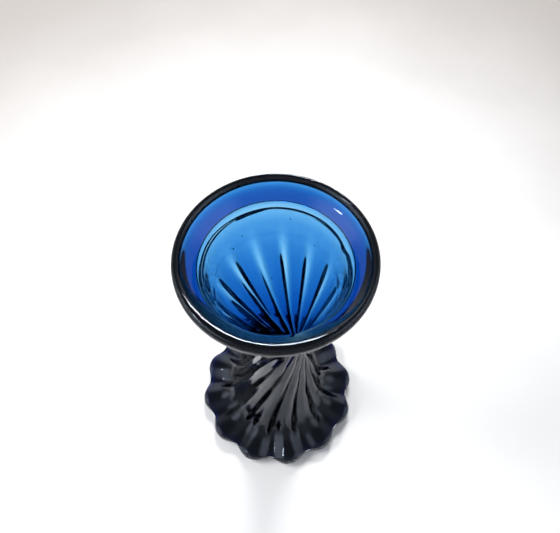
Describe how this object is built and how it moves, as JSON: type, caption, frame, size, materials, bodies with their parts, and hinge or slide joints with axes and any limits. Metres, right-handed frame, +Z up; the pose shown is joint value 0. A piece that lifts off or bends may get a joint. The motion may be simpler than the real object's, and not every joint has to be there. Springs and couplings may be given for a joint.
{
  "type": "glass candlestick",
  "caption": "Cobalt blue glass candlestick with a lobed foot, a twisted ribbed stem and a flared bowl that narrows to a candle socket under a thick rolled lip.",
  "frame": {"origin": "centre of the resting face under the foot", "axes": "+Z up along the stem, +X to the right and -Y towards the viewer of the picture"},
  "size_m": [0.1064, 0.1064, 0.1945],
  "materials": {
    "cobalt_glass": "glossy, fire polished, near black where it is thick"
  },
  "bodies": {
    "root": {"foot": "cobalt_glass", "stem": "cobalt_glass", "bowl": "cobalt_glass", "collar": "cobalt_glass", "folded_edge": "cobalt_glass", "lip": "cobalt_glass"}
  },
  "joints": []
}
